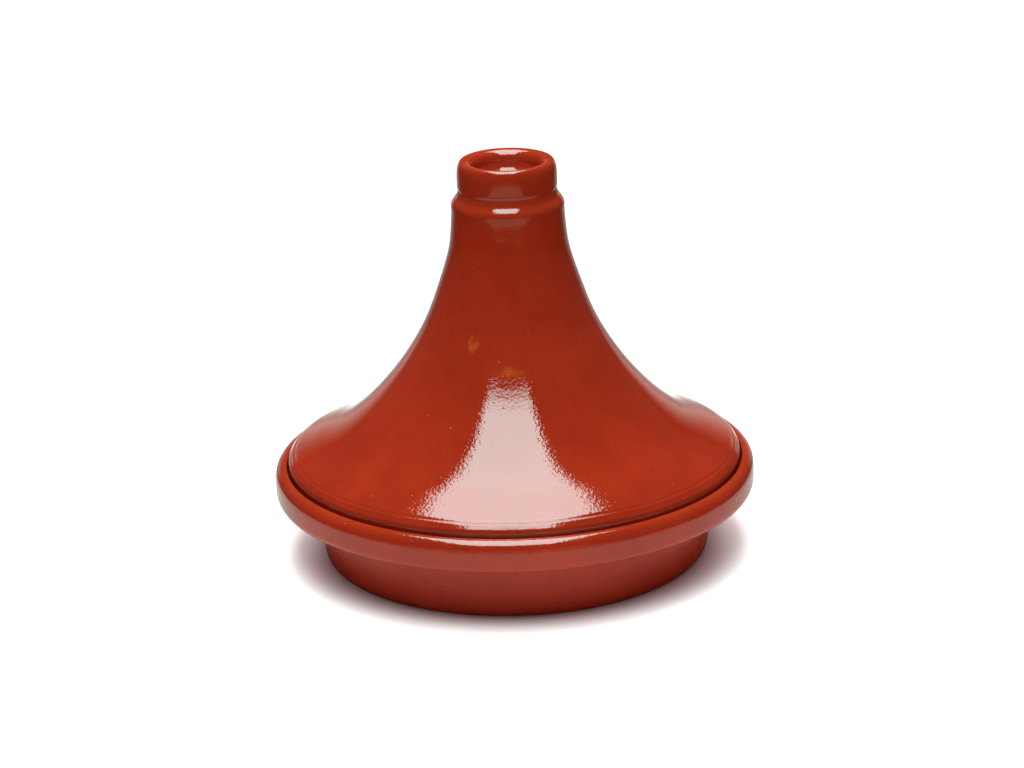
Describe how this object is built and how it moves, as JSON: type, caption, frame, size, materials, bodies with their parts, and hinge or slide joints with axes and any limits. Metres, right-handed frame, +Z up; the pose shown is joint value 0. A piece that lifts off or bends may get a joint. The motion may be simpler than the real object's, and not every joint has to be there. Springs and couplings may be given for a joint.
{
  "type": "tagine pot",
  "caption": "Shallow round cooking dish with a tall flared conical lid that sits in a rebate and lifts straight off by a hollow cup-shaped knob.",
  "frame": {"origin": "centre of the dish's flat underside, on the pot's axis, at the plane it rests on", "axes": "+Z up along the axis of both pieces; -Y towards the viewer; the pot is turned, so X and Y are interchangeable"},
  "size_m": [0.2708, 0.2708, 0.2249],
  "materials": {
    "dish_glaze": "glossy clear glaze over terracotta, bare flat foot",
    "lid_glaze": "glossy clear glaze over terracotta, bare seat ring"
  },
  "bodies": {
    "dish": {"base_dish": "dish_glaze"},
    "cover": {"lid": "lid_glaze"}
  },
  "joints": [
    {"name": "lid_lift", "type": "slide", "parent": "dish", "child": "cover", "axis": [0, 0, 1], "range_m": [0, 0.15]}
  ]
}
